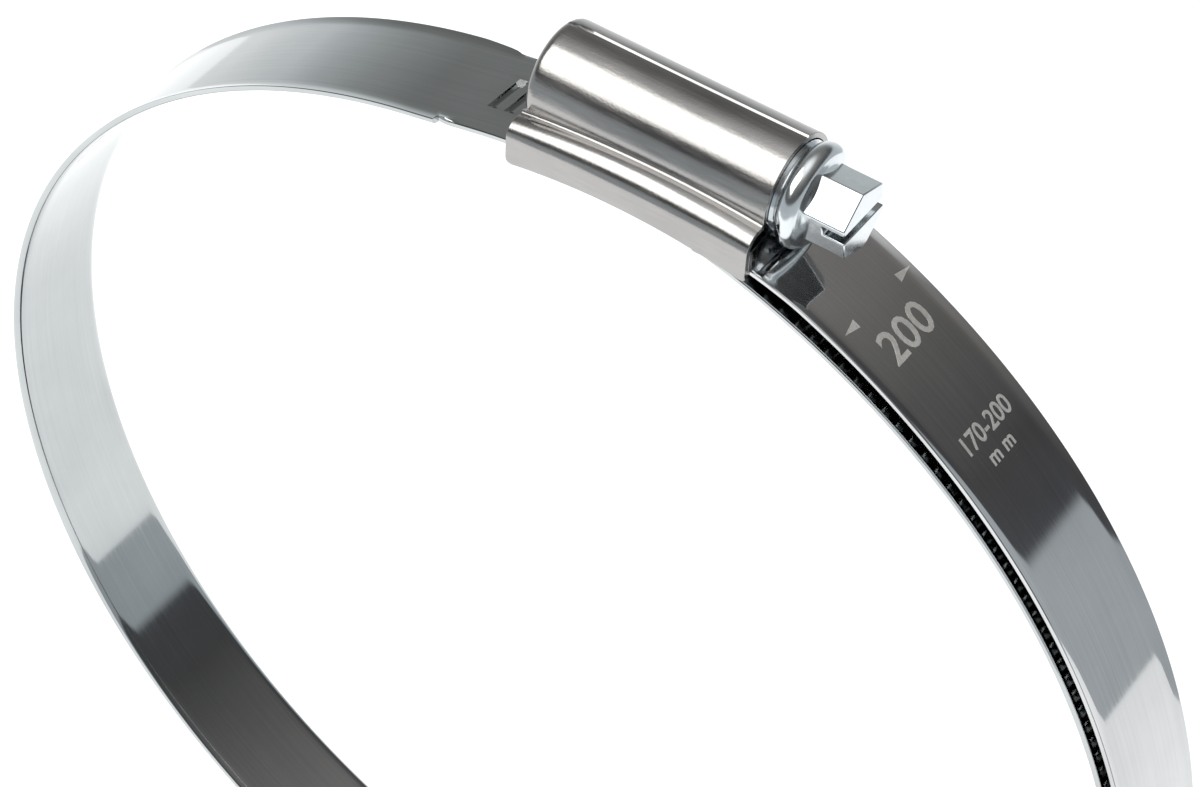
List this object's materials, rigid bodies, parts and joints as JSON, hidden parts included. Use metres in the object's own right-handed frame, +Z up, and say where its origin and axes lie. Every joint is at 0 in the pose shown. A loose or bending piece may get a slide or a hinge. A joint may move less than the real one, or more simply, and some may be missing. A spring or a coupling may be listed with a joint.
{
  "type": "worm-drive hose clamp",
  "caption": "Worm-drive hose clamp: a marked steel band with a grooved tail, closed round a hose by a slotted hexagon screw in a pressed housing.",
  "frame": {"origin": "centre of the bore that the closed band makes, on the band's middle plane", "axes": "+Y along the bore's axis, +Z up through the point where the worm meshes with the band, +X towards the head of the screw, parallel to the screw's axis"},
  "size_m": [0.1758, 0.0196, 0.1872],
  "materials": {
    "housing_steel": "satin zinc plate",
    "base_band_steel": "bright zinc plate",
    "tail_band_steel": "bright zinc plate",
    "screw_steel": "bluish zinc plate"
  },
  "bodies": {
    "root": {"housing": "housing_steel", "base_band": "base_band_steel"},
    "tail": {"tail_band": "tail_band_steel"},
    "screw": {"worm_screw": "screw_steel"}
  },
  "joints": [
    {"name": "band_feed", "type": "hinge", "parent": "root", "child": "tail", "pos_m": [0, 0, 0], "axis": [0, 1, 0], "range_deg": [-62, 4]},
    {"name": "screw_turn", "type": "hinge", "parent": "root", "child": "screw", "pos_m": [0, 0, 0.09285], "axis": [-1, 0, 0], "range_deg": [-14400, 1080]}
  ],
  "couplings": [
    {"joint": "screw_turn", "follows": "band_feed", "ratio": 228.75}
  ]
}
